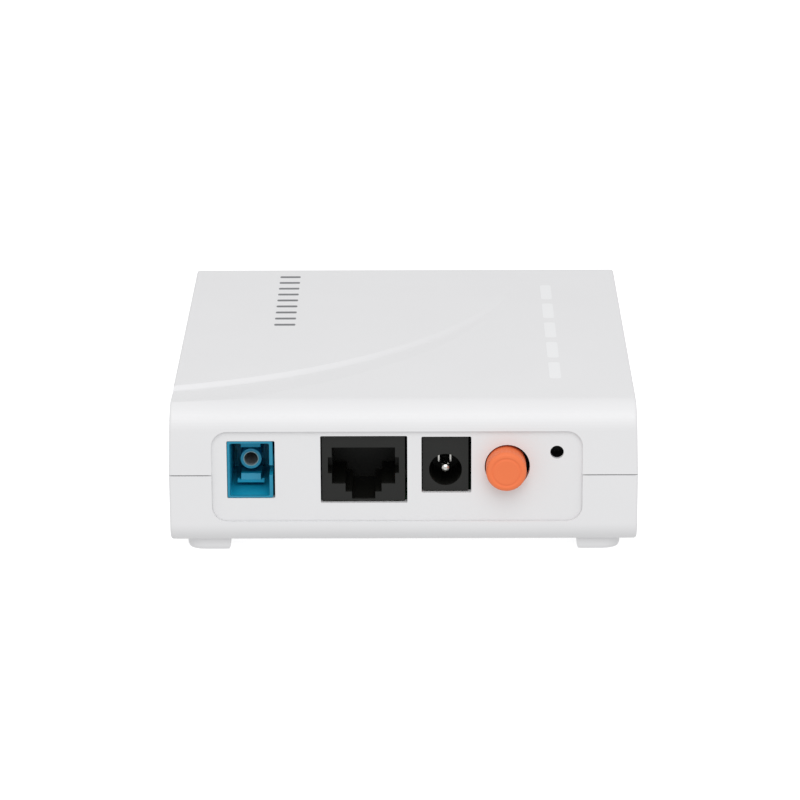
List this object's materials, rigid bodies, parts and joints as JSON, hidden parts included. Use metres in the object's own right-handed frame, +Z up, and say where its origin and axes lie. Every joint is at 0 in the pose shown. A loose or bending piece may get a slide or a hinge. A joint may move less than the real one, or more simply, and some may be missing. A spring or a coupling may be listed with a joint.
{
  "type": "optical network terminal",
  "caption": "Small white desktop box with an optical fibre socket, a LAN socket, a round power inlet, a push button and a reset pinhole on its front panel.",
  "frame": {"origin": "on the standing surface, under the middle of the outline with the released power button included", "axes": "+Z up, the port panel faces -Y, +X is to the right of someone who faces the ports"},
  "size_m": [0.088, 0.103, 0.0296],
  "materials": {
    "case_plastic": "satin moulded white ABS",
    "optical_blue": "semi-gloss moulded blue plastic",
    "socket_black": "satin moulded black plastic",
    "button_orange": "satin moulded orange plastic",
    "switch_plastic": "satin moulded off-white plastic",
    "light_guide_clear": "clear acrylic with a frosted top",
    "board_green": "solder-masked glass-epoxy laminate",
    "chip_black": "matt moulded epoxy",
    "thermal_grey": "soft silicone pad",
    "aluminium": "extruded, lightly brushed",
    "plated_steel": "bright zinc or nickel plate",
    "gold_contact": "gold-plated contact metal",
    "ceramic_white": "polished zirconia",
    "label_film": "matt polyester film, blank"
  },
  "bodies": {
    "terminal": {"board_screw_1": "plated_steel", "board_screw_2": "plated_steel", "board_screw_3": "plated_steel", "bottom_shell": "case_plastic", "case_screw_1": "plated_steel", "case_screw_2": "plated_steel", "case_screw_3": "plated_steel", "case_screw_4": "plated_steel", "clock_crystal": "plated_steel", "dc_inlet_housing": "socket_black", "dc_inlet_pin": "plated_steel", "dc_inlet_spring": "plated_steel", "electrolytic_capacitor_1": "aluminium", "electrolytic_capacitor_2": "aluminium", "electrolytic_capacitor_3": "aluminium", "ferrule_stub": "ceramic_white", "flash_chip": "chip_black", "gpon_processor": "chip_black", "indicator_led_1": "switch_plastic", "indicator_led_2": "switch_plastic", "indicator_led_3": "switch_plastic", "indicator_led_4": "switch_plastic", "indicator_led_5": "switch_plastic", "lan_contact_1": "gold_contact", "lan_contact_2": "gold_contact", "lan_contact_3": "gold_contact", "lan_contact_4": "gold_contact", "lan_contact_5": "gold_contact", "lan_contact_6": "gold_contact", "lan_contact_7": "gold_contact", "lan_contact_8": "gold_contact", "lan_jack_housing": "socket_black", "lan_transformer": "chip_black", "laser_can": "gold_contact", "laser_driver_shield": "plated_steel", "light_guide": "light_guide_clear", "main_board": "board_green", "memory_chip": "chip_black", "optical_module_body": "plated_steel", "photodiode_can": "gold_contact", "power_inductor_1": "chip_black", "power_inductor_2": "chip_black", "power_switch_body": "socket_black", "processor_heatsink": "aluminium", "rating_label": "label_film", "reset_switch_body": "chip_black", "sc_adapter_housing": "optical_blue", "sc_sleeve_holder": "optical_blue", "sc_split_sleeve": "ceramic_white", "thermal_pad": "thermal_grey", "top_cover": "case_plastic"},
    "power_button": {"power_button_cap": "button_orange", "power_switch_stem": "switch_plastic"},
    "reset_key": {"reset_switch_plunger": "socket_black"},
    "sc_latch_upper": {"sc_latch_upper": "optical_blue"},
    "sc_latch_lower": {"sc_latch_lower": "optical_blue"}
  },
  "joints": [
    {"name": "power_button_press", "type": "slide", "parent": "terminal", "child": "power_button", "axis": [0, 1, 0], "range_m": [0, 0.0022], "stiffness_N_per_m": 300},
    {"name": "reset_key_press", "type": "slide", "parent": "terminal", "child": "reset_key", "axis": [0, 1, 0], "range_m": [0, 0.00025], "stiffness_N_per_m": 400},
    {"name": "sc_latch_upper_flex", "type": "hinge", "parent": "terminal", "child": "sc_latch_upper", "pos_m": [-0.02888, -0.0318, 0.02032], "axis": [-1, 0, 0], "range_deg": [0, 3.5], "stiffness_Nm_per_rad": 0.05},
    {"name": "sc_latch_lower_flex", "type": "hinge", "parent": "terminal", "child": "sc_latch_lower", "pos_m": [-0.02888, -0.0318, 0.01318], "axis": [1, 0, 0], "range_deg": [0, 3.5], "stiffness_Nm_per_rad": 0.05}
  ]
}
